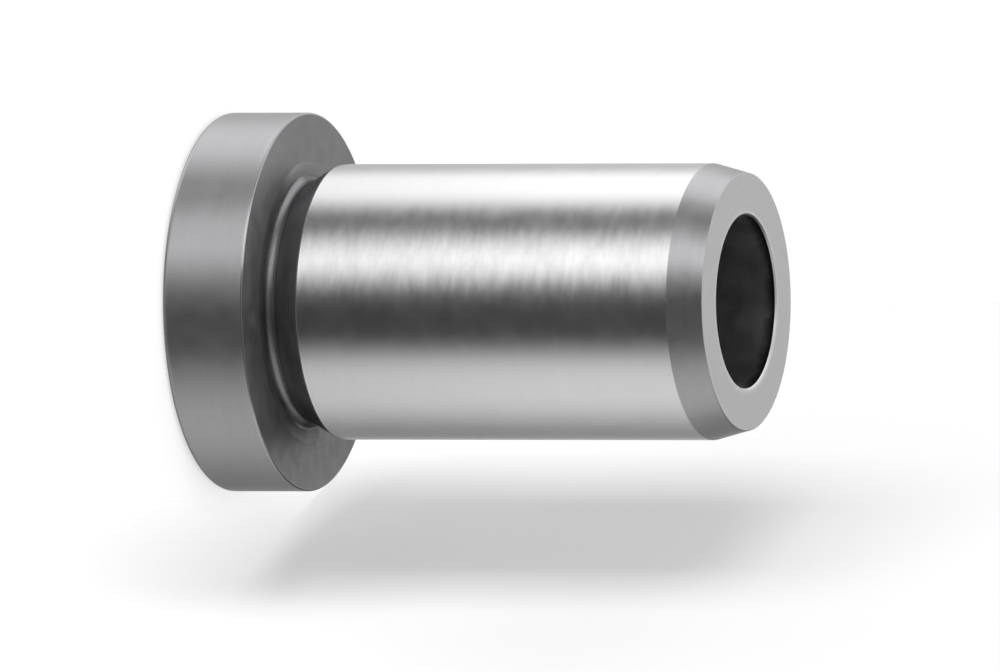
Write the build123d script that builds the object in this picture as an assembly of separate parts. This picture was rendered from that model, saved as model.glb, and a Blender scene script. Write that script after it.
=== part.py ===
from build123d import *

import math
import os

# Headed press-fit drill bushing for a jig plate, bore 5 by overall length 16 millimetres.
# It is one piece of tool steel, turned, hardened and ground, and round about the Z axis.
# The origin is the middle of the head's outer face, where the drill goes in. +Z runs from
# there through the shank to the pilot end, which is pressed into the plate first.

# Bore that guides the drill
bore_diameter = 5.0
bore_entry_radius = 1.0
bore_exit_chamfer = 0.05

# Head that stops the bushing on the plate
head_diameter = 11.0
head_height = 2.5
head_face_rim_radius = 0.2
head_seat_rim_radius = 0.05

# Ground shank that is pressed into the plate
shank_diameter = 8.0
overall_length = 16.0
shank_edge_radius = 0.08

# Relief next to the head, where the grinding wheel runs out. It also cuts a little into the
# seat, out past the shank, so that the edge of the plate's hole can't hold the head off.
relief_depth = 0.5
relief_seat_depth = 0.04
relief_seat_reach = 0.1
relief_corner_radius = 0.2
relief_floor_width = 0.08
relief_run_out_angle = 30.0

# Tapered lead on the pilot end, which centres the shank in its hole
lead_length = 1.0
lead_angle = 15.0

# Radii of the surfaces that the half section runs along
bore_radius = bore_diameter / 2
head_radius = head_diameter / 2
shank_radius = shank_diameter / 2
neck_radius = shank_radius - relief_depth
bearing_radius = shank_radius + relief_seat_reach
pilot_radius = shank_radius - lead_length * math.tan(math.radians(lead_angle))

# Heights above the head's outer face
seat_height = head_height
relief_bottom = seat_height - relief_seat_depth
run_out_start = relief_bottom + relief_corner_radius + relief_floor_width
shank_start = run_out_start + relief_depth / math.tan(math.radians(relief_run_out_angle))
lead_start = overall_length - lead_length

# Corners of the half section, as radius and height, before any edge is broken
bore_mouth = (bore_radius, 0)
head_face_rim = (head_radius, 0)
head_seat_rim = (head_radius, seat_height)
seat_inner_edge = (bearing_radius, seat_height)
relief_corner = (neck_radius, relief_bottom)
relief_floor_end = (neck_radius, run_out_start)
shank_edge = (shank_radius, shank_start)
lead_edge = (shank_radius, lead_start)
pilot_rim = (pilot_radius, overall_length)
bore_exit = (bore_radius, overall_length)

# Edges that are rounded in the section, each with its radius
rounded_corners = [
    (bore_mouth, bore_entry_radius),
    (head_face_rim, head_face_rim_radius),
    (head_seat_rim, head_seat_rim_radius),
    (relief_corner, relief_corner_radius),
    (shank_edge, shank_edge_radius),
]


def corner_at(section, place):
    """The corner of the section that stands at this radius and height."""
    return section.vertices().sort_by_distance(Vector(*place))[0]


def half_section():
    """One side of the bushing, cut along its axis, with its edges rounded and chamfered."""
    with BuildSketch(Plane.XZ) as section:
        with BuildLine():
            Polyline(
                bore_mouth,
                head_face_rim,
                head_seat_rim,
                seat_inner_edge,
                relief_corner,
                relief_floor_end,
                shank_edge,
                lead_edge,
                pilot_rim,
                bore_exit,
                close=True,
            )
        make_face()
        for place, radius in rounded_corners:
            fillet(corner_at(section, place), radius=radius)
        chamfer(corner_at(section, bore_exit), length=bore_exit_chamfer)
    return section.sketch


def drill_bushing():
    """The whole bushing, its half section turned once about the bore's axis."""
    with BuildPart() as bushing:
        add(half_section())
        revolve(axis=Axis.Z)
    return bushing.part


os.makedirs("parts", exist_ok=True)
export_step(drill_bushing(), "parts/drill_bushing.step")
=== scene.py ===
import math

import bpy
import numpy as np
from bpy.props import FloatProperty, FloatVectorProperty, PointerProperty
from mathutils import Matrix, Vector


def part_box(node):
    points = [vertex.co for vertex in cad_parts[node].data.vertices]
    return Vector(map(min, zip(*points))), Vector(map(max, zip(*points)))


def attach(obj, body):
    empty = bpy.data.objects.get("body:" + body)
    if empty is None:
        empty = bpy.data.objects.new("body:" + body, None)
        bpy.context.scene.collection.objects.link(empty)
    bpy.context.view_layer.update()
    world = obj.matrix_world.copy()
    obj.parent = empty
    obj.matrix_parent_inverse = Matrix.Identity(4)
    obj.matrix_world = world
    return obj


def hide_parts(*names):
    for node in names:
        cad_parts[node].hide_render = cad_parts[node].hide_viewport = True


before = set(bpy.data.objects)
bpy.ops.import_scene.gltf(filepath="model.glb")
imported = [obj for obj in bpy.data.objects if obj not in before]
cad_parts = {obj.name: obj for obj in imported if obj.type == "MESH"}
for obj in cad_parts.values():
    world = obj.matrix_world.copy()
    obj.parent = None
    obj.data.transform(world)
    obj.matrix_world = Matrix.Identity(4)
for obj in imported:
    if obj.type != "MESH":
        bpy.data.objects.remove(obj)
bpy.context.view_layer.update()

# Finished look of a headed press-fit drill bushing: its turned surface, the finish of each
# of its faces, and a plain pale studio. Lengths are in metres and angles in radians.

bl_info = {
    "name": "Drill Jig Bushing",
    "version": (1, 0, 0),
    "blender": (4, 5, 0),
    "location": "View3D > Sidebar > Drill Bushing",
    "description": "Builds a headed press-fit drill bushing, its steel finishes and a pale studio",
    "category": "Add Mesh",
}

CAD_NODE = "drill_bushing"
MM = 0.001

node_low, node_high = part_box(CAD_NODE)
NODE_DIAMETER = node_high.x - node_low.x
NODE_LENGTH = node_high.z - node_low.z


def length_property(label, note, default):
    """A length that a user may change."""
    return FloatProperty(
        name=label, description=note, default=default, min=0.0, precision=6, unit="LENGTH"
    )


def angle_property(label, note, degrees):
    """An angle that a user may change, given in degrees and kept in radians."""
    return FloatProperty(
        name=label, description=note, default=math.radians(degrees), unit="ROTATION"
    )


def number_property(label, note, default, high=1.0):
    """A plain number from nought to its limit, which is one for a share."""
    return FloatProperty(
        name=label, description=note, default=default, min=0.0, max=high, precision=4
    )


def colour_property(label, note, default):
    """A linear colour that a user may change."""
    return FloatVectorProperty(
        name=label, description=note, default=default, size=3, subtype="COLOR", min=0.0, max=1.0
    )


class BushingSizes(bpy.types.PropertyGroup):
    """The sizes that the half section is drawn from."""

    bore_diameter: length_property("Bore", "Diameter that guides the drill", 5.0 * MM)
    bore_mouth_radius: length_property("Bore mouth", "Radius where the drill goes in", 1.0 * MM)
    bore_exit_chamfer: length_property("Bore exit", "Chamfer at the pilot end", 0.05 * MM)
    head_diameter: length_property("Head", "Diameter of the head", NODE_DIAMETER)
    head_height: length_property("Head height", "From the outer face to the seat", 2.5 * MM)
    head_face_rim_radius: length_property("Head face rim", "Radius round the outer face", 0.2 * MM)
    head_seat_rim_radius: length_property("Head seat rim", "Radius round the seat", 0.05 * MM)
    shank_diameter: length_property("Shank", "Ground diameter that is pressed in", 8.0 * MM)
    shank_edge_radius: length_property("Shank edge", "Radius where the relief ends", 0.08 * MM)
    overall_length: length_property("Length", "From the outer face to the pilot face", NODE_LENGTH)
    relief_depth: length_property("Relief depth", "How far the relief cuts below the shank", 0.5 * MM)
    relief_seat_depth: length_property("Relief in the seat", "How far it cuts into the seat", 0.04 * MM)
    relief_seat_reach: length_property("Relief reach", "How far out past the shank it does", 0.1 * MM)
    relief_corner_radius: length_property("Relief corner", "Radius under the head", 0.2 * MM)
    relief_floor_width: length_property("Relief floor", "Width of its straight floor", 0.08 * MM)
    relief_run_out_angle: angle_property("Relief run-out", "Slope back up to the shank", 30.0)
    lead_length: length_property("Lead", "Length of the taper on the pilot end", 1.0 * MM)
    lead_angle: angle_property("Lead angle", "Slope of that taper", 15.0)
    edge_break: length_property("Edge break", "Radius that a stone leaves on sharp edges", 0.02 * MM)


class BushingFinish(bpy.types.PropertyGroup):
    """Colour and roughness of each finish."""

    shank_colour: colour_property("Shank", "Ground and bright", (0.782, 0.78, 0.792))
    shank_roughness: number_property("Shank roughness", "Ground", 0.22)
    head_colour: colour_property("Head side", "Turned and hardened", (0.448, 0.448, 0.458))
    head_roughness: number_property("Head side roughness", "Turned", 0.36)
    # The seat rim is darker than the head as painted shade, so that its rounding shows no highlight,
    # and its fades paint highlights on it in the upper half and at the bottom of the picture.
    rim_colour: colour_property("Seat rim", "Where it is least rubbed", (0.21, 0.21, 0.215))
    lead_colour: colour_property("Lead", "Turned taper on the pilot end", (0.48, 0.48, 0.49))
    lead_roughness: number_property("Lead roughness", "Turned", 0.3)
    pilot_colour: colour_property("Pilot face", "Faced and stoned bright", (0.562, 0.562, 0.572))
    pilot_roughness: number_property("Pilot face roughness", "Faced", 0.34)
    seat_colour: colour_property("Seat", "Left dull by hardening", (0.315, 0.315, 0.323))
    seat_roughness: number_property("Seat roughness", "Dull", 0.55)
    # The relief ring is darker than the seat as painted shade, and its fades paint it paler at the top
    # and the bottom of the picture and darker towards the back.
    ring_colour: colour_property("Relief ring", "The shallow cut in the seat", (0.22, 0.22, 0.226))
    corner_colour: colour_property("Relief corner", "Cut clean by the tool", (0.3, 0.3, 0.308))
    corner_roughness: number_property("Relief corner roughness", "Cut", 0.35)
    # The neck's fades darken it towards the back as painted shade.
    neck_colour: colour_property("Relief neck", "Black scale left in the groove", (0.29, 0.29, 0.298))
    neck_roughness: number_property("Relief neck roughness", "Scale", 0.45)
    # The bore's colour is kept darker than honed steel as painted shade.
    bore_colour: colour_property("Bore", "Dark, with oil left in it", (0.45, 0.45, 0.46))
    bore_roughness: number_property("Bore roughness", "Honed under the oil", 0.4)
    # A dark line of painted shade inside the bore's edge at the pilot end.
    bore_edge_shade_colour: colour_property("Oil line", "Dark line inside the bore's edge", (0.05, 0.05, 0.052))
    worn_colour: colour_property("Worn edge", "Bare steel where an edge is rubbed", (0.8, 0.8, 0.81))


class BushingStudio(bpy.types.PropertyGroup):
    """The stage: its floor, its card, its two lamps and the camera."""

    floor_half_width: length_property("Floor", "From the middle to its edge", 1.5)
    floor_drop: length_property("Floor drop", "Clearance below the head's face", 0.01 * MM)
    floor_colour: colour_property("Floor colour", "Plain and pale", (0.94, 0.94, 0.94))
    floor_lift: number_property("Floor lift", "Share of white in what the camera sees", 0.62)
    opening_start: length_property("Opening start", "Across, where the floor clears", 4.8 * MM)
    opening_end: length_property("Opening end", "Across, where the card shows fully", 6.8 * MM)
    card_half_width: length_property("Card", "From its middle to its edge", 20.0 * MM)
    # The card's colour darkens along the bore as painted shade, against the stronger light that falls
    # on it towards the pilot end.
    card_colour: colour_property("Card colour", "Beside the head", (0.71, 0.71, 0.71))
    card_shaded_colour: colour_property("Card far colour", "Past the shank", (0.615, 0.615, 0.615))
    card_shade_start: length_property("Fade start", "Along the bore, where the card darkens", 2.0 * MM)
    card_shade_end: length_property("Fade end", "Along the bore, where it has darkened", 13.0 * MM)
    card_lift: number_property("Card lift", "Share of white in what the camera sees", 0.33)
    card_distance: length_property("Card distance", "From the bore axis", 7.84 * MM)
    card_turn: angle_property("Card turn", "How far it is turned to the camera's side", 21.4)
    top_strength: number_property("Top lamp", "Strength of the lamp over the floor", 1.6, 20.0)
    key_strength: number_property("Key lamp", "Strength of the lamp facing the card", 3.8, 20.0)
    lamp_height: angle_property("Key lamp height", "How tall it looks, for soft ends", 60.0)
    lamp_rise: angle_property("Key lamp rise", "How far above the bushing's middle it is", 3.5)
    lamp_lean: angle_property("Key lamp lean", "From square to the card, towards the camera", 10.4)
    lamp_distance: length_property("Lamp distance", "From the bushing to the key lamp", 0.15)
    lamp_width: angle_property("Lamp width", "How wide both lamps look, for soft shadows", 27.0)
    lens: number_property("Lens", "Long, so that parallel edges stay parallel", 1000.0, 2000.0)
    frame_width: length_property("Frame width", "Width shown at the bushing", 28.96 * MM)
    view_elevation: angle_property("View elevation", "How far it looks down the bore", 20.7)
    aim_x: length_property("Aim across", "Middle of the picture, off the bore axis", 0.99 * MM)
    aim_z: length_property("Aim along", "Middle of the picture, along the bore", 8.395 * MM)


# How finely the surface is divided: steps once round the axis, steps in each rounding, the
# short step at both ends of a straight run, and where the run's other points are
TURN_STEPS = 256
ARC_STEPS = 8
GUARD_LENGTH = 0.015 * MM
RUN_FRACTIONS = (0.25, 0.5, 0.75)

# Steps along each side of the floor and of the card
SHEET_STEPS = 8

# Finishes, in the order of the piece's material slots
SHANK, HEAD, RIM, LEAD, PILOT, HEAD_FACE, SEAT, RING, CORNER, NECK, BORE = range(11)

# Fades of the finishes. Each fade has its direction, two places along it in millimetres, and
# the shade at the first of them. The shade is one at the second. The fades of the head, seat rim,
# seat, relief ring, relief corner and neck are painted light and shade: they make the steel paler
# or darker towards the top or the bottom of the picture, or towards the back, where it is lit or
# shaded. The shank's fade makes it darker towards the head.
ACROSS = (1.0, 0.0, 0.0)
TOWARDS_BACK = (0.0, 1.0, 0.0)
ALONG = (0.0, 0.0, 1.0)
SHANK_FADES = ((ALONG, 1.5, 13.0, 0.85),)
HEAD_PAINTED_LIGHT = ((ACROSS, -3.0, -3.9, 1.14), (ACROSS, -1.8, -2.6, 0.877), (ACROSS, 2.6, 1.9, 0.94))
RIM_PAINTED_HIGHLIGHT = ((ACROSS, -1.3, -0.6, 3.2), (ACROSS, -3.2, -2.4, 0.6), (ACROSS, 3.4, 2.6, 2.4))
SEAT_PAINTED_LIGHT = ((ACROSS, 3.1, 2.5, 1.12), (ACROSS, 3.9, 3.3, 0.79), (ACROSS, 5.3, 4.3, 1.17))
RING_PAINTED_LIGHT = ((ACROSS, -4.0, -2.6, 2.7), (ACROSS, 3.2, 2.5, 1.8), (TOWARDS_BACK, -0.3, -1.5, 0.68))
CORNER_PAINTED_LIGHT = ((TOWARDS_BACK, -0.2, -0.9, 0.36), (ACROSS, 3.3, 2.9, 1.7), (ACROSS, 3.68, 3.5, 0.8))
NECK_PAINTED_SHADE = ((TOWARDS_BACK, -1.9, -2.9, 0.4), (TOWARDS_BACK, -0.9, -1.9, 0.6))


def bushing_outline(sizes):
    """Corners of the half section, anticlockwise as radius and height, with the radius that
    rounds each one, the finish of that rounding, the finish of the straight run after it, and how
    strongly the edge colour shows at the corner: bare steel where it is rubbed bright, and painted
    shade inside the bore's edge."""
    bore = sizes.bore_diameter / 2
    head = sizes.head_diameter / 2
    shank = sizes.shank_diameter / 2
    neck = shank - sizes.relief_depth
    pilot = shank - sizes.lead_length * math.tan(sizes.lead_angle)
    seat = sizes.head_height
    relief = seat - sizes.relief_seat_depth
    run_out = relief + sizes.relief_corner_radius + sizes.relief_floor_width
    shank_start = run_out + sizes.relief_depth / math.tan(sizes.relief_run_out_angle)
    end = sizes.overall_length
    edge = sizes.edge_break
    rows = [
        (bore, 0.0, sizes.bore_mouth_radius, HEAD_FACE, HEAD_FACE, 0.0),
        (head, 0.0, sizes.head_face_rim_radius, HEAD, HEAD, 0.0),
        (head, seat, sizes.head_seat_rim_radius, RIM, SEAT, 0.1),
        (shank + sizes.relief_seat_reach, seat, edge, RING, RING, 0.0),
        (neck, relief, sizes.relief_corner_radius, CORNER, NECK, 0.0),
        (neck, run_out, edge, NECK, NECK, 0.0),
        (shank, shank_start, sizes.shank_edge_radius, SHANK, SHANK, 0.6),
        (shank, end - sizes.lead_length, edge, LEAD, LEAD, 0.1),
        (pilot, end, edge, LEAD, PILOT, 0.0),
        (bore + sizes.bore_exit_chamfer, end, edge, PILOT, PILOT, 0.5),
        # Inside the bore's edge the edge colour is painted shade.
        (bore, end - sizes.bore_exit_chamfer, edge, BORE, BORE, 1.0),
    ]
    corners = np.array([row[:2] for row in rows])
    roundings = np.array([row[2] for row in rows])
    arc_finish = np.array([row[3] for row in rows])
    run_finish = np.array([row[4] for row in rows])
    wear_and_shade = np.array([row[5] for row in rows])
    return corners, roundings, arc_finish, run_finish, wear_and_shade


def point_wear_and_shade(wear_and_shade):
    """How strongly each point of the profile takes its edge colour, which is bare steel on rubbed
    corners and painted shade inside the bore's edge: an arc's points as their corner is, and a
    run's points from the corner before it to the corner after it."""
    arc = np.repeat(wear_and_shade[:, None], ARC_STEPS + 1, axis=1)
    share = np.array([0.0, *RUN_FRACTIONS, 1.0])
    run = wear_and_shade[:, None] * (1 - share) + np.roll(wear_and_shade, -1)[:, None] * share
    return np.concatenate([arc, run], axis=1).ravel()


def unit(vectors):
    """The same directions, each one long."""
    return vectors / np.linalg.norm(vectors, axis=-1, keepdims=True)


def rounded_profile(corners, roundings):
    """Closed line through the corners, each turned into an arc, and how far each point is from
    an arc.

    Where a and b point from a corner to its neighbours, and h is half the angle between them, an
    arc of radius R is about corner + unit(a + b) R / sin(h). It runs from corner + a R / tan(h)
    to corner + b R / tan(h). Each straight run has a short step at both ends, so that smooth
    shading doesn't bend it.
    """
    before = unit(np.roll(corners, 1, 0) - corners)
    after = unit(np.roll(corners, -1, 0) - corners)
    half_angle = np.arccos((before * after).sum(1)) / 2
    set_back = (roundings / np.tan(half_angle))[:, None]
    centre = corners + unit(before + after) * (roundings / np.sin(half_angle))[:, None]
    first = corners + before * set_back - centre
    last = corners + after * set_back - centre
    start = np.arctan2(first[:, 1], first[:, 0])
    sweep = np.arctan2(last[:, 1], last[:, 0]) - start
    sweep = (sweep + np.pi) % (2 * np.pi) - np.pi
    angle = start[:, None] + sweep[:, None] * np.linspace(0, 1, ARC_STEPS + 1)
    arcs = centre[:, None] + roundings[:, None, None] * np.stack([np.cos(angle), np.sin(angle)], -1)

    run_start = arcs[:, -1]
    run = np.roll(arcs[:, 0], -1, 0) - run_start
    length = np.linalg.norm(run, axis=1)[:, None]
    guard = np.minimum(GUARD_LENGTH / length, RUN_FRACTIONS[0] / 2)
    inner = np.broadcast_to(RUN_FRACTIONS, (len(corners), len(RUN_FRACTIONS)))
    fractions = np.concatenate([guard, inner, 1 - guard], axis=1)
    runs = run_start[:, None] + run[:, None] * fractions[..., None]

    profile = np.concatenate([arcs, runs], axis=1).reshape(-1, 2)
    run_distance = length * np.minimum(fractions, 1 - fractions)
    distance = np.concatenate([np.zeros(arcs.shape[:2]), run_distance], axis=1).ravel()
    return profile, distance


def step_finishes(arc_finish, run_finish):
    """Finish of each step along the profile: the steps of every arc, then those of the run after
    it, one more than its points."""
    run_points = len(RUN_FRACTIONS) + 2
    arc = np.repeat(arc_finish[:, None], ARC_STEPS, axis=1)
    run = np.repeat(run_finish[:, None], run_points + 1, axis=1)
    return np.concatenate([arc, run], axis=1).ravel()


def turned_surface(profile):
    """Grid of points x = r cos(u), y = r sin(u), z = h, where u goes once round and (r, h) follows
    the closed profile. Both ends of the grid join up, so the surface has no seam and no border."""
    turn = np.linspace(0, 2 * np.pi, TURN_STEPS, endpoint=False)[:, None]
    radius = profile[:, 0]
    height = np.broadcast_to(profile[:, 1], (TURN_STEPS, len(profile)))
    points = np.stack([np.cos(turn) * radius, np.sin(turn) * radius, height], -1)
    here = np.arange(TURN_STEPS * len(profile)).reshape(TURN_STEPS, -1)
    beside = np.roll(here, -1, 0)
    quads = np.stack([here, beside, np.roll(beside, -1, 1), np.roll(here, -1, 1)], -1)
    return points.reshape(-1, 3), quads.reshape(-1, 4)


def put(tree, kind, inputs=None, **settings):
    """A node of this kind, with its settings, and its inputs set to values or joined to sockets."""
    made = tree.nodes.new(kind)
    for name, value in settings.items():
        setattr(made, name, value)
    for key, value in (inputs or {}).items():
        if isinstance(value, bpy.types.NodeSocket):
            tree.links.new(value, made.inputs[key])
        else:
            made.inputs[key].default_value = value
    return made


def empty_nodes(made):
    """The node tree of a new material or world, with no nodes in it."""
    made.use_nodes = True
    made.node_tree.nodes.clear()
    return made.node_tree


def work_out(tree, operation, *values):
    """The result of a Math node."""
    return put(tree, "ShaderNodeMath", dict(enumerate(values)), operation=operation).outputs[0]


def vector_from(tree, operation, inputs):
    """The vector that a Vector Math node gives."""
    return put(tree, "ShaderNodeVectorMath", inputs, operation=operation).outputs["Vector"]


def number_from(tree, operation, inputs):
    """The number that a Vector Math node gives."""
    return put(tree, "ShaderNodeVectorMath", inputs, operation=operation).outputs["Value"]


def smooth_step(tree, value, start, end, low=0.0, high=1.0):
    """A value that goes smoothly from low at start to high at end."""
    inputs = {"Value": value, "From Min": start, "From Max": end, "To Min": low, "To Max": high}
    return put(tree, "ShaderNodeMapRange", inputs, interpolation_type="SMOOTHSTEP").outputs["Result"]


def blend_floats(tree, factor, a, b):
    """a where the factor is nought, b where it is one."""
    return put(tree, "ShaderNodeMix", {0: factor, 2: a, 3: b}, data_type="FLOAT").outputs[0]


def blend_colours(tree, factor, a, b):
    """Colour a where the factor is nought, colour b where it is one."""
    return put(tree, "ShaderNodeMix", {0: factor, 6: a, 7: b}, data_type="RGBA").outputs[2]


def group_node(tree, group, inputs):
    """The output of a group that is placed in a material or world with its own values."""
    return put(tree, "ShaderNodeGroup", inputs, node_tree=group).outputs[0]


def new_group(name, inputs, outputs):
    """An empty shader node group, with the sockets of its inputs and outputs. inputs gives each
    input's name, type and default, and outputs each output's name and type."""
    tree = bpy.data.node_groups.new(name, "ShaderNodeTree")
    for label, kind, default in inputs:
        socket = tree.interface.new_socket(name=label, in_out="INPUT", socket_type=kind)
        if default is not None:
            socket.default_value = default
    for label, kind in outputs:
        tree.interface.new_socket(name=label, in_out="OUTPUT", socket_type=kind)
    return tree, tree.nodes.new("NodeGroupInput").outputs, tree.nodes.new("NodeGroupOutput").inputs


# Kinds of socket that the groups have
FLOAT = "NodeSocketFloat"
VECTOR = "NodeSocketVector"

# Values of the noise between which the clouds, and the shade of the tool marks, go from one end
# to the other
CLOUD_RANGE = (0.3, 0.7)
MARK_RANGE = (0.25, 0.75)

# Which way the tool marks face: on a side, or on a flat face
SIDE = 0.0
FACE = 1.0


def stretched_noise(tree, position, round_length, axial_length, detail=3.0, roughness=0.5):
    """Noise whose patches are one length round the bore axis and another along it."""
    lengths = {0: round_length, 1: round_length, 2: axial_length}
    size = put(tree, "ShaderNodeCombineXYZ", lengths).outputs[0]
    scaled = vector_from(tree, "DIVIDE", {0: position, 1: size})
    inputs = {"Vector": scaled, "Scale": 1.0, "Detail": detail, "Roughness": roughness}
    return put(tree, "ShaderNodeTexNoise", inputs).outputs[0]


def tool_marks_group():
    """Fine marks of the tool or wheel: rings that follow each other along the axis on a side, and
    outwards on a face."""
    inputs = [
        ("Position", VECTOR, None),
        ("Facing", FLOAT, SIDE),
        ("Pitch", FLOAT, 0.1 * MM),
        ("Length", FLOAT, 3.0 * MM),
    ]
    tree, given, result = new_group("tool_marks", inputs, [("Height", FLOAT)])
    part = put(tree, "ShaderNodeSeparateXYZ", {0: given["Position"]}).outputs
    flat = put(tree, "ShaderNodeCombineXYZ", {0: part[0], 1: part[1]}).outputs[0]
    radius = number_from(tree, "LENGTH", {0: flat})
    across = blend_floats(tree, given["Facing"], part[2], radius)
    turned = put(tree, "ShaderNodeCombineXYZ", {0: part[0], 1: part[1], 2: across}).outputs[0]
    noise = stretched_noise(tree, turned, given["Length"], given["Pitch"], roughness=0.6)
    tree.links.new(noise, result["Height"])
    return tree


# Direction from the axis whose surface reflects the front strip, where the ripple and the
# painted streaks are strongest, the cosines of the angles from it between which they calm down,
# and the share of them that stays
FRONT_STRIP_SIDE = (-0.342, -0.94, 0.0)
CHATTER_RANGE = (0.883, 0.978)
CALM_SHARE = 0.1
CHATTER_INPUTS = [
    ("Position", VECTOR, None),
    ("Amount", FLOAT, 0.5),
    ("Round Length", FLOAT, 1.0 * MM),
    ("Axial Length", FLOAT, 0.3 * MM),
]


def chatter_noise(tree, given, normal, detail, roughness):
    """Noise from minus a half to a half, times the amount given. It is long round the axis and
    short along it, as a wheel's chatter is, and it falls to its calm share where the surface
    turns away from the side that reflects the front strip."""
    lengths = (given["Round Length"], given["Axial Length"])
    noise = stretched_noise(tree, given["Position"], *lengths, detail=detail, roughness=roughness)
    turned = number_from(tree, "DOT_PRODUCT", {0: normal, 1: FRONT_STRIP_SIDE})
    chatter = smooth_step(tree, turned, *CHATTER_RANGE, CALM_SHARE, 1.0)
    amount = work_out(tree, "MULTIPLY", given["Amount"], chatter)
    return work_out(tree, "MULTIPLY", work_out(tree, "SUBTRACT", noise, 0.5), amount)


def streaks_group():
    """Paler and darker streaks in the colour, as grinding leaves them, but painted mostly where
    the surface reflects the front strip, where they break up its highlight as a painted sheen: one
    plus the chatter's noise.
    """
    tree, given, result = new_group("streaks", CHATTER_INPUTS, [("Shade", FLOAT)])
    normal = put(tree, "ShaderNodeNewGeometry").outputs["Normal"]
    noise = chatter_noise(tree, given, normal, detail=3.0, roughness=0.7)
    tree.links.new(work_out(tree, "ADD", noise, 1.0), result["Shade"])
    return tree


def ripple_group():
    """Normal leaned round the axis: normal + c t, where c is the chatter's noise and t is the unit
    vector round the axis."""
    tree, given, result = new_group("ripple", CHATTER_INPUTS, [("Normal", VECTOR)])
    normal = put(tree, "ShaderNodeNewGeometry").outputs["Normal"]
    lean = chatter_noise(tree, given, normal, detail=1.0, roughness=0.4)
    around = vector_from(tree, "CROSS_PRODUCT", {0: ALONG, 1: normal})
    around = vector_from(tree, "NORMALIZE", {0: around})
    lean = vector_from(tree, "SCALE", {0: around, "Scale": lean})
    leaned = vector_from(tree, "ADD", {0: normal, 1: lean})
    tree.links.new(vector_from(tree, "NORMALIZE", {0: leaned}), result["Normal"])
    return tree


def edge_wear_group():
    """Where an edge takes its edge colour, bare steel where it is rubbed and painted shade inside
    the bore's edge: one at the edge, nought past a ragged width from it, which is the width given
    times twice the noise."""
    inputs = [
        ("Position", VECTOR, None),
        ("Distance", FLOAT, 0.0),
        ("Width", FLOAT, 0.06 * MM),
        ("Patch", FLOAT, 0.5 * MM),
    ]
    tree, given, result = new_group("edge_wear", inputs, [("Mask", FLOAT)])
    noise = stretched_noise(tree, given["Position"], given["Patch"], given["Patch"])
    ragged = work_out(tree, "MULTIPLY", given["Width"], work_out(tree, "MULTIPLY", noise, 2.0))
    mask = smooth_step(tree, given["Distance"], 0.0, ragged, 1.0, 0.0)
    tree.links.new(mask, result["Mask"])
    return tree


def mottle_group():
    """Soft clouds of about one size, from nought to one."""
    inputs = [("Position", VECTOR, None), ("Patch", FLOAT, 1.0 * MM)]
    tree, given, result = new_group("mottle", inputs, [("Value", FLOAT)])
    noise = stretched_noise(tree, given["Position"], given["Patch"], given["Patch"])
    tree.links.new(smooth_step(tree, noise, *CLOUD_RANGE), result["Value"])
    return tree


def chatter_node(tree, group, position, chatter):
    """The ripple or the streaks, with an amount and the lengths round the axis and along it."""
    amount, round_length, axial_length = chatter
    sizes = {"Amount": amount, "Round Length": round_length, "Axial Length": axial_length}
    return group_node(tree, group, {"Position": position, **sizes})


def steel(
    name, groups, colour, roughness, edge_colour, marks, ripple, mottle, wear, streaks=None, fades=()
):
    """A steel finish: tool marks in its bump and shade, clouds in its colour and roughness, a
    rippled normal, edges that turn to the edge colour, streaks and fades. The streaks are painted
    mostly where the surface reflects the front strip, and most fades paint light and shade.

    marks gives which way the tool marks face, their pitch, their depth and how much they shade.
    mottle gives the size of the clouds, and their share of the colour and of the roughness. The
    reach given after mottle is how far the edge colour goes from an edge: bare steel where that
    edge is rubbed, and painted shade inside the bore's edge.
    """
    material = bpy.data.materials.new(name)
    tree = empty_nodes(material)
    position = put(tree, "ShaderNodeTexCoord").outputs["Object"]
    facing, pitch, depth, mark_shade = marks
    mark_place = {"Position": position, "Facing": facing, "Pitch": pitch}
    height = group_node(tree, groups["tool_marks"], mark_place)
    normal = chatter_node(tree, groups["ripple"], position, ripple)
    cloud_size, cloud_shade, cloud_roughness = mottle
    cloud = group_node(tree, groups["mottle"], {"Position": position, "Patch": cloud_size})

    dark = [c * (1 - cloud_shade) for c in colour] + [1.0]
    light = [min(c * (1 + cloud_shade), 1.0) for c in colour] + [1.0]
    base = blend_colours(tree, cloud, dark, light)
    shade = smooth_step(tree, height, *MARK_RANGE, 1 - mark_shade, 1 + mark_shade)
    if streaks:
        streak = chatter_node(tree, groups["streaks"], position, streaks)
        shade = work_out(tree, "MULTIPLY", shade, streak)
    for direction, start, end, start_shade in fades:
        along = number_from(tree, "DOT_PRODUCT", {0: position, 1: direction})
        fade = smooth_step(tree, along, start * MM, end * MM, start_shade, 1.0)
        shade = work_out(tree, "MULTIPLY", shade, fade)
    base = vector_from(tree, "SCALE", {0: base, "Scale": shade})
    edge = put(tree, "ShaderNodeAttribute", attribute_name="edge_distance").outputs["Fac"]
    wear_and_shade = put(tree, "ShaderNodeAttribute", attribute_name="edge_wear_and_shade").outputs["Fac"]
    wear_place = {"Position": position, "Distance": edge, "Width": wear}
    mask = group_node(tree, groups["edge_wear"], wear_place)
    mask = work_out(tree, "MULTIPLY", mask, wear_and_shade)
    base = blend_colours(tree, mask, base, [*edge_colour, 1.0])

    smoother = roughness * (1 - cloud_roughness)
    rougher = roughness * (1 + cloud_roughness)
    rough = blend_floats(tree, cloud, smoother, rougher)
    relief = {"Strength": 1.0, "Distance": depth, "Height": height, "Normal": normal}
    bump = put(tree, "ShaderNodeBump", relief).outputs[0]
    surface = {"Base Color": base, "Metallic": 1.0, "Roughness": rough, "Normal": bump}
    shader = put(tree, "ShaderNodeBsdfPrincipled", surface)
    put(tree, "ShaderNodeOutputMaterial", {"Surface": shader.outputs[0]})
    return material


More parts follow.
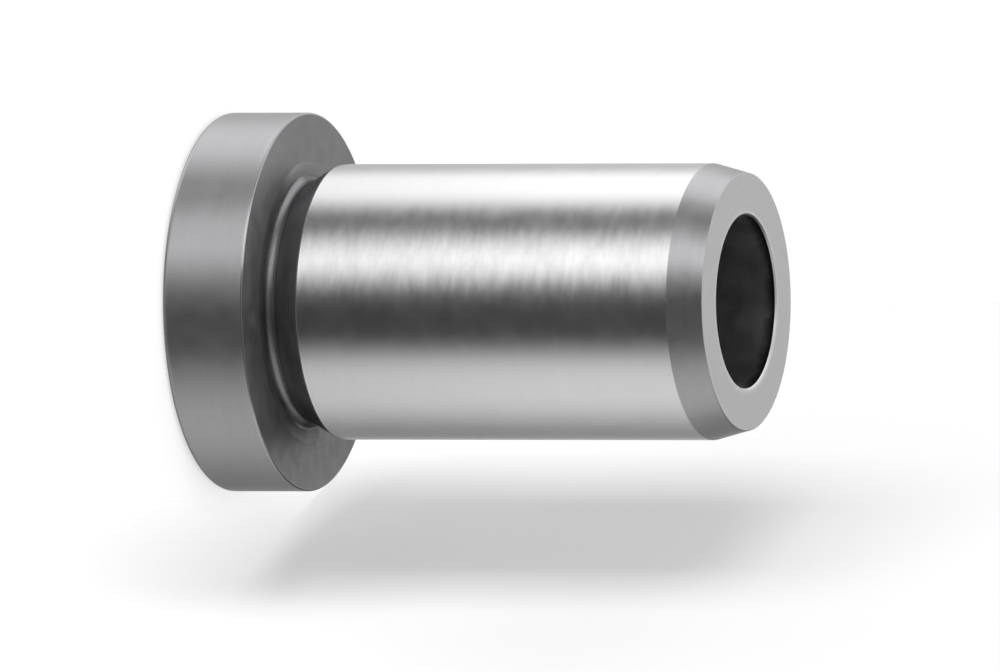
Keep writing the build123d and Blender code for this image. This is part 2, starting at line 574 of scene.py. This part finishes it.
def bushing_finishes(finish):
    """The piece's materials, in the order of the finish numbers."""
    groups = {
        "tool_marks": tool_marks_group(),
        "streaks": streaks_group(),
        "ripple": ripple_group(),
        "edge_wear": edge_wear_group(),
        "mottle": mottle_group(),
    }
    worn = list(finish.worn_colour)
    # oil is the dark line of painted shade inside the bore's edge.
    oil = list(finish.bore_edge_shade_colour)
    fine = 0.08 * MM
    coarse = 0.12 * MM
    no_ripple = (0.0, 1.0 * MM, 1.0 * MM)
    head_turning = {
        "marks": (SIDE, coarse, 0.0003 * MM, 0.02),
        "ripple": (0.02, 1.5 * MM, 0.5 * MM),
        "mottle": (0.7 * MM, 0.02, 0.05),
        "wear": 0.12 * MM,
    }
    seat_facing = {
        "marks": (FACE, coarse, 0.0003 * MM, 0.03),
        "ripple": no_ripple,
        "mottle": (0.6 * MM, 0.03, 0.1),
        "wear": 0.03 * MM,
    }

    def made(name, colour, roughness, edge_colour=worn, **values):
        return steel(name, groups, list(colour), roughness, edge_colour, **values)

    return [
        made(
            "ground_shank", finish.shank_colour, finish.shank_roughness,
            marks=(SIDE, fine, 0.00015 * MM, 0.01), ripple=(0.052, 1.0 * MM, 0.24 * MM),
            mottle=(0.8 * MM, 0.01, 0.1), wear=0.05 * MM, streaks=(0.42, 1.2 * MM, 0.5 * MM),
            fades=SHANK_FADES,
        ),
        made(
            "turned_head", finish.head_colour, finish.head_roughness,
            fades=HEAD_PAINTED_LIGHT, **head_turning,
        ),
        made(
            "rim_painted_light", finish.rim_colour, finish.head_roughness,
            fades=RIM_PAINTED_HIGHLIGHT, **head_turning,
        ),
        made(
            "turned_lead", finish.lead_colour, finish.lead_roughness,
            marks=(SIDE, fine, 0.0002 * MM, 0.02), ripple=(0.06, 1.5 * MM, 0.4 * MM),
            mottle=(0.6 * MM, 0.02, 0.1), wear=0.04 * MM,
        ),
        made(
            "faced_pilot", finish.pilot_colour, finish.pilot_roughness,
            marks=(FACE, fine, 0.0003 * MM, 0.03), ripple=no_ripple,
            mottle=(0.4 * MM, 0.03, 0.1), wear=0.16 * MM,
        ),
        made(
            "faced_head", finish.head_colour, finish.head_roughness,
            marks=(FACE, coarse, 0.0005 * MM, 0.04), ripple=no_ripple,
            mottle=(0.8 * MM, 0.04, 0.1), wear=0.1 * MM,
        ),
        made(
            "dull_seat", finish.seat_colour, finish.seat_roughness,
            fades=SEAT_PAINTED_LIGHT, **seat_facing,
        ),
        made(
            "dull_ring_painted_light", finish.ring_colour, finish.seat_roughness,
            fades=RING_PAINTED_LIGHT, **seat_facing,
        ),
        made(
            "dull_corner", finish.corner_colour, finish.corner_roughness,
            marks=(SIDE, fine, 0.0002 * MM, 0.03), ripple=(0.05, 1.5 * MM, 0.3 * MM),
            mottle=(0.6 * MM, 0.03, 0.1), wear=0.03 * MM, fades=CORNER_PAINTED_LIGHT,
        ),
        made(
            "dark_neck", finish.neck_colour, finish.neck_roughness,
            marks=(SIDE, fine, 0.0003 * MM, 0.05), ripple=(0.05, 1.5 * MM, 0.3 * MM),
            mottle=(0.6 * MM, 0.05, 0.1), wear=0.03 * MM, fades=NECK_PAINTED_SHADE,
        ),
        # Its edge colour is the dark line of painted shade inside the bore's edge.
        made(
            "dark_bore", finish.bore_colour, finish.bore_roughness, oil,
            marks=(SIDE, fine, 0.0003 * MM, 0.04), ripple=(0.05, 1.5 * MM, 0.5 * MM),
            mottle=(0.8 * MM, 0.05, 0.1), wear=0.35 * MM,
        ),
    ]


class BUSHING_OT_body(bpy.types.Operator):
    """Turn the whole bushing from its half section and give each face its finish"""

    bl_idname = "bushing.body"
    bl_label = "Build Bushing"

    def execute(self, context):
        outline = bushing_outline(context.scene.bushing_sizes)
        corners, roundings, arc_finish, run_finish, wear_and_shade = outline
        profile, distance = rounded_profile(corners, roundings)
        points, quads = turned_surface(profile)
        mesh = bpy.data.meshes.new("turned_bushing")
        mesh.from_pydata(points, [], quads)
        finishes = np.tile(step_finishes(arc_finish, run_finish), TURN_STEPS)
        mesh.polygons.foreach_set("material_index", finishes.astype(np.int32))
        for name, values in (("edge_distance", distance), ("edge_wear_and_shade", point_wear_and_shade(wear_and_shade))):
            attribute = mesh.attributes.new(name, "FLOAT", "POINT")
            attribute.data.foreach_set("value", np.tile(values, TURN_STEPS).astype(np.float32))
        mesh.shade_smooth()
        for material in bushing_finishes(context.scene.bushing_finish):
            mesh.materials.append(material)
        mesh.update()
        piece = bpy.data.objects.new("turned_bushing", mesh)
        context.scene.collection.objects.link(piece)
        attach(piece, "root")
        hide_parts(CAD_NODE)
        return {"FINISHED"}


# Brightness of the studio as the steel sees it, by azimuth from the camera's side towards -X.
# Each soft box, card or gap has its middle, half width and soft border in degrees, and its
# strength. A top level is its strength above the horizon, where that is another.
ROOM_LEVEL = 0.31
UPPER_GAP = (71.0, 15.0, 16.0, 0.2)
UPPER_GAP_TOP_LEVEL = 0.27
UPPER_BACK = (168.0, 28.0, 24.0, 0.6)
OVERHEAD_BOX = (114.0, 25.0, 32.0, 1.34)
LOWER_BOX = (-79.0, 34.0, 56.0, 0.75)
LOWER_BOX_TOP_LEVEL = 0.62
LOWER_BACK_GAP = (-146.0, 36.0, 28.0, 0.05)
DARK_CARD = (-10.0, 30.0, 34.0, 0.057)
DARK_CARD_TOP_LEVEL = 0.14
STRIP_GLOW = (10.0, 10.0, 16.0, 0.11)
FRONT_STRIP = (35.8, 15.8, 34.0, 1.34)
BACKDROP = (146.0, 34.0, 40.0, 1.0)

# Elevations in degrees between which the backdrop, the gap beside it, and the paler or dimmer
# tops of the boxes come in
HORIZON_LOW = -12.0
HORIZON_HIGH = 12.0

# Over the same elevations the boxes move in azimuth: by the low angle where the azimuth is below
# minus the border, and by the high angle where it is above the border
FAN_BORDER = 20.0
FAN_LOW = -3.0
FAN_HIGH = 6.0

# Light from straight above and below, which comes in between the two pole angles of elevation.
# Above, it rises from the dim to the bright level between these distances towards -X, on a sphere
# of one.
ZENITH_DIM = 0.45
ZENITH_BRIGHT = 1.3
ZENITH_LEAN = (0.0, 0.45)
NADIR_LEVEL = 0.3
POLE_START = 45.0
POLE_END = 80.0

WHITE = (1.0, 1.0, 1.0, 1.0)


def soft_box_group():
    """How much of a soft box is seen: one within its half width of its middle, nought past it,
    with a soft border across that line."""
    inputs = [
        ("Azimuth", FLOAT, 0.0),
        ("Middle", FLOAT, 0.0),
        ("Half Width", FLOAT, 0.5),
        ("Border", FLOAT, 0.5),
    ]
    tree, given, result = new_group("soft_box", inputs, [("Mask", FLOAT)])
    off = work_out(tree, "SUBTRACT", given["Azimuth"], given["Middle"])
    off = work_out(tree, "ABSOLUTE", work_out(tree, "WRAP", off, math.pi, -math.pi))
    half_border = work_out(tree, "MULTIPLY", given["Border"], 0.5)
    inner = work_out(tree, "SUBTRACT", given["Half Width"], half_border)
    outer = work_out(tree, "ADD", given["Half Width"], half_border)
    tree.links.new(smooth_step(tree, off, inner, outer, 1.0, 0.0), result["Mask"])
    return tree


def studio_world():
    """World whose brightness goes by direction: a dim room, a dark card, soft boxes, a white
    backdrop behind the bushing, and light from straight above and below. The camera sees all of
    it white, and the steel sees the backdrop so."""
    world = bpy.data.worlds.new("studio")
    tree = empty_nodes(world)
    direction = put(tree, "ShaderNodeTexCoord").outputs["Generated"]
    part = put(tree, "ShaderNodeSeparateXYZ", {0: direction}).outputs
    lean = work_out(tree, "MULTIPLY", part[0], -1.0)
    azimuth = work_out(tree, "ARCTAN2", lean, work_out(tree, "MULTIPLY", part[1], -1.0))
    elevation = work_out(tree, "ARCSINE", part[2])
    box_group = soft_box_group()
    above = smooth_step(tree, elevation, math.radians(HORIZON_LOW), math.radians(HORIZON_HIGH))
    fan_border = math.radians(FAN_BORDER)
    fan_low = math.radians(FAN_LOW)
    fan_high = math.radians(FAN_HIGH)
    fan = smooth_step(tree, azimuth, -fan_border, fan_border, fan_low, fan_high)
    azimuth = work_out(tree, "SUBTRACT", azimuth, work_out(tree, "MULTIPLY", fan, above))
    boxes = (
        (UPPER_GAP, None, UPPER_GAP_TOP_LEVEL),
        (UPPER_BACK, None, None),
        (OVERHEAD_BOX, None, None),
        (LOWER_BOX, None, LOWER_BOX_TOP_LEVEL),
        (LOWER_BACK_GAP, above, None),
        (DARK_CARD, None, DARK_CARD_TOP_LEVEL),
        (STRIP_GLOW, None, None),
        (FRONT_STRIP, None, None),
        (BACKDROP, above, None),
    )
    level = ROOM_LEVEL
    for (middle, half_width, border, strength), share, top_level in boxes:
        place = {
            "Azimuth": azimuth,
            "Middle": math.radians(middle),
            "Half Width": math.radians(half_width),
            "Border": math.radians(border),
        }
        mask = group_node(tree, box_group, place)
        if share is not None:
            mask = work_out(tree, "MULTIPLY", mask, share)
        if top_level is not None:
            strength = blend_floats(tree, above, strength, top_level)
        level = blend_floats(tree, mask, level, strength)
    backdrop_mask = mask
    pole_start = math.radians(POLE_START)
    pole_end = math.radians(POLE_END)
    zenith_share = smooth_step(tree, elevation, pole_start, pole_end)
    nadir_share = smooth_step(tree, elevation, -pole_start, -pole_end)
    zenith = smooth_step(tree, lean, *ZENITH_LEAN, ZENITH_DIM, ZENITH_BRIGHT)
    level = blend_floats(tree, zenith_share, level, zenith)
    level = blend_floats(tree, nadir_share, level, NADIR_LEVEL)
    room = put(tree, "ShaderNodeBackground", {"Color": WHITE, "Strength": level})
    white = put(tree, "ShaderNodeBackground", {"Color": WHITE, "Strength": 1.0})
    path = put(tree, "ShaderNodeLightPath").outputs
    seen = work_out(tree, "MAXIMUM", path["Is Camera Ray"], path["Is Transmission Ray"])
    backdrop_shown = work_out(tree, "MULTIPLY", path["Is Glossy Ray"], backdrop_mask)
    seen = work_out(tree, "MAXIMUM", seen, backdrop_shown)
    mixed = put(tree, "ShaderNodeMixShader", {0: seen, 1: room.outputs[0], 2: white.outputs[0]})
    put(tree, "ShaderNodeOutputWorld", {"Surface": mixed.outputs[0]})
    return world


def pale_paint(name, colour, shaded_colour, fade, lift, card_side=None):
    """Matt pale paint that can be looked through from behind. Its colour goes to the shaded colour
    between the two heights in fade, which on the card is painted shade against the stronger light
    that falls on it towards the pilot end. lift is the share of plain white in what the camera sees
    of it. Where card_side is given, the camera looks through the paint on the card's side of the
    bushing, past those two distances across, so that the card is seen there."""
    material = bpy.data.materials.new(name)
    tree = empty_nodes(material)
    position = put(tree, "ShaderNodeTexCoord").outputs["Object"]
    part = put(tree, "ShaderNodeSeparateXYZ", {0: position}).outputs
    past = smooth_step(tree, part[2], *fade)
    tone = blend_colours(tree, past, [*colour, 1.0], [*shaded_colour, 1.0])
    matt = put(tree, "ShaderNodeBsdfDiffuse", {"Color": tone})
    white = put(tree, "ShaderNodeEmission", {"Strength": 1.0})
    camera = put(tree, "ShaderNodeLightPath").outputs["Is Camera Ray"]
    share = work_out(tree, "MULTIPLY", camera, lift)
    paint = put(tree, "ShaderNodeMixShader", {0: share, 1: matt.outputs[0], 2: white.outputs[0]})
    clear = put(tree, "ShaderNodeBsdfTransparent")
    hidden = put(tree, "ShaderNodeNewGeometry").outputs["Backfacing"]
    if card_side:
        opened = work_out(tree, "MULTIPLY", smooth_step(tree, part[0], *card_side), camera)
        hidden = work_out(tree, "MAXIMUM", hidden, opened)
    mixed = put(tree, "ShaderNodeMixShader", {0: hidden, 1: paint.outputs[0], 2: clear.outputs[0]})
    put(tree, "ShaderNodeOutputMaterial", {"Surface": mixed.outputs[0]})
    return material


def flat_sheet(middle, along, across, half_width):
    """Grid of points middle + along a + across b, where a and b go evenly from one edge to the
    other. It faces along x across."""
    line = np.linspace(-half_width, half_width, SHEET_STEPS + 1)
    a, b = np.meshgrid(line, line, indexing="ij")
    points = np.array(middle) + a[..., None] * np.array(along) + b[..., None] * np.array(across)
    here = np.arange(a.size).reshape(a.shape)
    quads = np.stack([here[:-1, :-1], here[1:, :-1], here[1:, 1:], here[:-1, 1:]], -1)
    return points.reshape(-1, 3), quads.reshape(-1, 4)


# Nearest and farthest distances that the camera shows
CLIP_START = 0.01
CLIP_END = 10.0


def camera_axes(tilt):
    """Right, up and back of the camera, which lies on its side and looks down the bore by tilt."""
    right = Vector((0.0, math.sin(tilt), math.cos(tilt)))
    up = Vector((-1.0, 0.0, 0.0))
    back = Vector((0.0, -math.cos(tilt), math.sin(tilt)))
    return right, up, back


class BUSHING_OT_studio(bpy.types.Operator):
    """Lay the pale floor, stand the card, light them and set the camera"""

    bl_idname = "bushing.studio"
    bl_label = "Build Studio"

    def execute(self, context):
        studio = context.scene.bushing_studio
        self.lay_floor(context, studio)
        self.stand_card_and_key_lamp(context, studio)
        self.set_camera(context, studio)
        context.scene.world = studio_world()
        context.scene.view_settings.view_transform = "Standard"
        return {"FINISHED"}

    def sheet(self, context, name, paint, *place):
        """A pale sheet that the steel doesn't show and that shades nothing."""
        points, quads = flat_sheet(*place)
        mesh = bpy.data.meshes.new(name)
        mesh.from_pydata(points, [], quads)
        mesh.materials.append(paint)
        mesh.update()
        sheet = bpy.data.objects.new(name, mesh)
        sheet.visible_glossy = False
        sheet.visible_diffuse = False
        sheet.visible_shadow = False
        context.scene.collection.objects.link(sheet)

    def hang_lamp(self, context, light):
        """A lamp for the floor and the card alone, because the steel shows only the world."""
        lamp = bpy.data.objects.new(light.name, light)
        lamp.visible_glossy = False
        context.scene.collection.objects.link(lamp)
        return lamp

    def lay_floor(self, context, studio):
        """The floor that the bushing stands on, and the lamp over it. The floor is one colour, so
        the card's painted shade along the bore does nothing in its paint."""
        x = Vector((1.0, 0.0, 0.0))
        y = Vector((0.0, 1.0, 0.0))
        z = Vector((0.0, 0.0, 1.0))
        middle = -studio.floor_drop * z
        card_side = (studio.opening_start, studio.opening_end)
        colour = studio.floor_colour
        fade = (studio.card_shade_start, studio.card_shade_end)
        paint = pale_paint("floor_paint", colour, colour, fade, studio.floor_lift, card_side)
        self.sheet(context, "studio_floor", paint, middle, x, y, studio.floor_half_width)
        light = bpy.data.lights.new("top_lamp", "SUN")
        light.energy = studio.top_strength
        light.angle = studio.lamp_width
        self.hang_lamp(context, light)

    def stand_card_and_key_lamp(self, context, studio):
        """An upright card along the bushing's lower side in the picture, seen only from its front,
        and the tall soft lamp that throws the bushing's shadow on it. The lamp's power goes with
        the square of its distance, so that its light stays about the same where it is moved."""
        turn = studio.card_turn
        facing = Vector((-math.cos(turn), -math.sin(turn), 0.0))
        across = Vector((math.sin(turn), -math.cos(turn), 0.0))
        upright = Vector((0.0, 0.0, 1.0))
        fade = (studio.card_shade_start, studio.card_shade_end)
        # The card's paint darkens along the bore as painted shade.
        colours = (studio.card_colour, studio.card_shaded_colour)
        paint = pale_paint("card_paint", *colours, fade, studio.card_lift)
        middle = NODE_LENGTH / 2 * upright
        place = (middle - studio.card_distance * facing, across, upright, studio.card_half_width)
        self.sheet(context, "studio_card", paint, *place)

        away = studio.lamp_distance
        lean = math.tan(studio.lamp_lean) * across
        rise = math.tan(studio.lamp_rise) * upright
        direction = facing + lean + rise
        light = bpy.data.lights.new("key_lamp", "AREA")
        light.shape = "RECTANGLE"
        light.size = 2 * away * math.tan(studio.lamp_width / 2)
        light.size_y = 2 * away * math.tan(studio.lamp_height / 2)
        light.energy = studio.key_strength * math.pi * away**2
        lamp = self.hang_lamp(context, light)
        lamp.location = middle + direction.normalized() * away
        lamp.rotation_euler = direction.to_track_quat("Z", "Y").to_euler()
        lamp.visible_camera = False

    def set_camera(self, context, studio):
        """The bore axis lies across the picture, with the pilot end to the right and nearer."""
        lens = bpy.data.cameras.new("studio_camera")
        lens.lens = studio.lens
        lens.clip_start = CLIP_START
        lens.clip_end = CLIP_END
        right, up, back = camera_axes(studio.view_elevation)
        away = studio.lens * studio.frame_width / lens.sensor_width
        place = Vector((studio.aim_x, 0.0, studio.aim_z)) + back * away
        turned = Matrix((right, up, back)).transposed().to_4x4()
        camera = bpy.data.objects.new("studio_camera", lens)
        camera.matrix_world = Matrix.Translation(place) @ turned
        context.scene.collection.objects.link(camera)
        context.scene.camera = camera


class BUSHING_PT_panel(bpy.types.Panel):
    """The bushing's steps, with the sizes, finishes and stage that they use"""

    bl_idname = "BUSHING_PT_panel"
    bl_label = "Drill Bushing"
    bl_space_type = "VIEW_3D"
    bl_region_type = "UI"
    bl_category = "Drill Bushing"

    def draw(self, context):
        layout = self.layout
        scene = context.scene
        steps = (
            (BUSHING_OT_body, scene.bushing_sizes),
            (None, scene.bushing_finish),
            (BUSHING_OT_studio, scene.bushing_studio),
        )
        for operator, settings in steps:
            box = layout.box()
            if operator:
                box.operator(operator.bl_idname)
            for name in settings.__annotations__:
                box.prop(settings, name)


CLASSES = (
    BushingSizes,
    BushingFinish,
    BushingStudio,
    BUSHING_OT_body,
    BUSHING_OT_studio,
    BUSHING_PT_panel,
)


def register():
    for cls in CLASSES:
        bpy.utils.register_class(cls)
    bpy.types.Scene.bushing_sizes = PointerProperty(type=BushingSizes)
    bpy.types.Scene.bushing_finish = PointerProperty(type=BushingFinish)
    bpy.types.Scene.bushing_studio = PointerProperty(type=BushingStudio)


def unregister():
    del bpy.types.Scene.bushing_studio
    del bpy.types.Scene.bushing_finish
    del bpy.types.Scene.bushing_sizes
    for cls in reversed(CLASSES):
        bpy.utils.unregister_class(cls)


def main():
    """Build the bushing and its studio."""
    register()
    bpy.ops.bushing.body()
    bpy.ops.bushing.studio()


if __name__ == "__main__":
    main()
